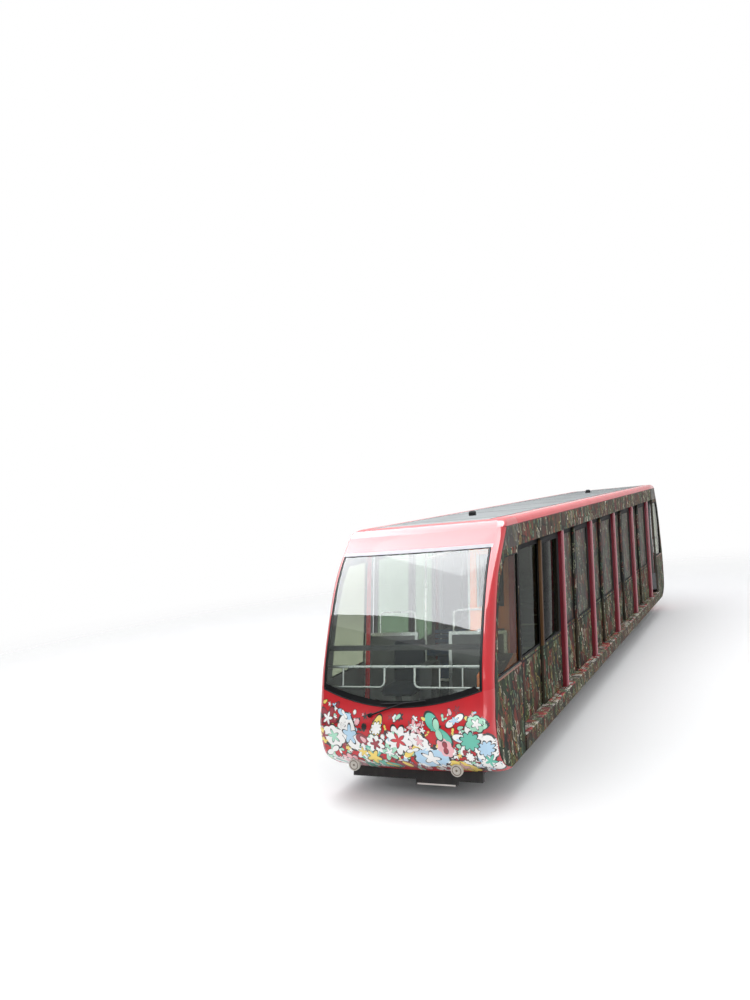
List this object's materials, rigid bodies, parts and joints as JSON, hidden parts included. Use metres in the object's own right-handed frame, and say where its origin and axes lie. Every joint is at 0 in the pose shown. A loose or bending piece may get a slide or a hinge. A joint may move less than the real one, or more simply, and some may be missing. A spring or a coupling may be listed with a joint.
{
  "type": "funicular car",
  "caption": "Leaning box-shaped funicular car with raked rounded ends, sliding side doors, a stepped floor and two pivoting bogies on flanged and flat wheels.",
  "frame": {"origin": "on the ground plane at the lowest wheel flanges, under the middle of the bounding box", "axes": "+X uphill along the rails, +Y to the left when looking uphill, +Z square to the rails, away from them"},
  "size_m": [15.6864, 2.44, 3.4898],
  "materials": {
    "red_paint": "gloss",
    "maroon_paint": "gloss",
    "patterned_wrap": "satin",
    "grey_roof": "matte",
    "black_frame": "satin",
    "glass": "gloss",
    "steel": "satin",
    "wheel_steel": "satin",
    "orange_cabinet": "satin",
    "floor_cover": "matte",
    "seat": "matte",
    "pale_buffer": "matte",
    "black_rubber": "matte"
  },
  "bodies": {
    "car_body": {"bench_seats": "seat", "buffers_uphill": "pale_buffer", "buffers_valley": "pale_buffer", "cab_bar_uphill": "black_frame", "cab_bar_valley": "black_frame", "cab_screens_uphill": "steel", "cab_screens_valley": "steel", "cab_side_uphill_left": "patterned_wrap", "cab_side_uphill_right": "patterned_wrap", "cab_side_valley_left": "patterned_wrap", "cab_side_valley_right": "patterned_wrap", "cantrail_left": "patterned_wrap", "cantrail_right": "patterned_wrap", "deflector_uphill": "black_frame", "deflector_valley": "black_frame", "driver_desk_uphill": "orange_cabinet", "driver_desk_valley": "orange_cabinet", "end_frame_uphill": "red_paint", "end_frame_valley": "red_paint", "equipment_boxes": "black_frame", "floor": "floor_cover", "grab_rails": "steel", "guard_rail_uphill": "steel", "guard_rail_valley": "steel", "nose_uphill": "red_paint", "nose_valley": "red_paint", "pillars_left": "maroon_paint", "pillars_right": "maroon_paint", "roof_domes": "pale_buffer", "roof_panel": "grey_roof", "rope_socket": "black_frame", "side_glass_left": "glass", "side_glass_right": "glass", "side_panels_left": "patterned_wrap", "side_panels_right": "patterned_wrap", "sill_left": "patterned_wrap", "sill_right": "patterned_wrap", "underframe": "black_frame", "windscreen_uphill": "glass", "windscreen_valley": "glass", "wiper_uphill": "black_rubber", "wiper_valley": "black_rubber"},
    "bogie_valley": {"bogie_frame_valley": "black_frame", "rail_brakes_valley": "black_frame"},
    "bogie_uphill": {"bogie_frame_uphill": "black_frame", "rail_brakes_uphill": "black_frame"},
    "wheelset_1_body": {"wheelset_1": "wheel_steel"},
    "wheelset_2_body": {"wheelset_2": "wheel_steel"},
    "wheelset_3_body": {"wheelset_3": "wheel_steel"},
    "wheelset_4_body": {"wheelset_4": "wheel_steel"},
    "door_left_1_leaf": {"door_left_1": "patterned_wrap"},
    "door_left_2_leaf": {"door_left_2": "patterned_wrap"},
    "door_left_3_leaf": {"door_left_3": "patterned_wrap"},
    "door_left_4_leaf": {"door_left_4": "patterned_wrap"},
    "door_left_5_leaf": {"door_left_5": "patterned_wrap"},
    "door_right_1_leaf": {"door_right_1": "patterned_wrap"},
    "door_right_2_leaf": {"door_right_2": "patterned_wrap"},
    "door_right_3_leaf": {"door_right_3": "patterned_wrap"},
    "door_right_4_leaf": {"door_right_4": "patterned_wrap"},
    "door_right_5_leaf": {"door_right_5": "patterned_wrap"}
  },
  "joints": [
    {"name": "bogie_valley_pivot", "type": "hinge", "parent": "car_body", "child": "bogie_valley", "pos_m": [-4.2, 0, 0.49], "axis": [0, 0, 1], "range_deg": [-3, 3]},
    {"name": "bogie_uphill_pivot", "type": "hinge", "parent": "car_body", "child": "bogie_uphill", "pos_m": [4.2, 0, 0.49], "axis": [0, 0, 1], "range_deg": [-3, 3]},
    {"name": "wheelset_1_spin", "type": "hinge", "parent": "bogie_valley", "child": "wheelset_1_body", "pos_m": [-5, 0, 0.32], "axis": [0, 1, 0], "continuous": true},
    {"name": "wheelset_2_spin", "type": "hinge", "parent": "bogie_valley", "child": "wheelset_2_body", "pos_m": [-3.4, 0, 0.32], "axis": [0, 1, 0], "continuous": true},
    {"name": "wheelset_3_spin", "type": "hinge", "parent": "bogie_uphill", "child": "wheelset_3_body", "pos_m": [3.4, 0, 0.32], "axis": [0, 1, 0], "continuous": true},
    {"name": "wheelset_4_spin", "type": "hinge", "parent": "bogie_uphill", "child": "wheelset_4_body", "pos_m": [5, 0, 0.32], "axis": [0, 1, 0], "continuous": true},
    {"name": "door_left_1_slide", "type": "slide", "parent": "car_body", "child": "door_left_1_leaf", "axis": [-1, 0, 0], "range_m": [0, 0.95]},
    {"name": "door_left_2_slide", "type": "slide", "parent": "car_body", "child": "door_left_2_leaf", "axis": [-1, 0, 0], "range_m": [0, 0.95]},
    {"name": "door_left_3_slide", "type": "slide", "parent": "car_body", "child": "door_left_3_leaf", "axis": [-1, 0, 0], "range_m": [0, 0.95]},
    {"name": "door_left_4_slide", "type": "slide", "parent": "car_body", "child": "door_left_4_leaf", "axis": [-1, 0, 0], "range_m": [0, 0.95]},
    {"name": "door_left_5_slide", "type": "slide", "parent": "car_body", "child": "door_left_5_leaf", "axis": [-1, 0, 0], "range_m": [0, 0.95]},
    {"name": "door_right_1_slide", "type": "slide", "parent": "car_body", "child": "door_right_1_leaf", "axis": [-1, 0, 0], "range_m": [0, 0.95]},
    {"name": "door_right_2_slide", "type": "slide", "parent": "car_body", "child": "door_right_2_leaf", "axis": [-1, 0, 0], "range_m": [0, 0.95]},
    {"name": "door_right_3_slide", "type": "slide", "parent": "car_body", "child": "door_right_3_leaf", "axis": [-1, 0, 0], "range_m": [0, 0.95]},
    {"name": "door_right_4_slide", "type": "slide", "parent": "car_body", "child": "door_right_4_leaf", "axis": [-1, 0, 0], "range_m": [0, 0.95]},
    {"name": "door_right_5_slide", "type": "slide", "parent": "car_body", "child": "door_right_5_leaf", "axis": [-1, 0, 0], "range_m": [0, 0.95]}
  ]
}
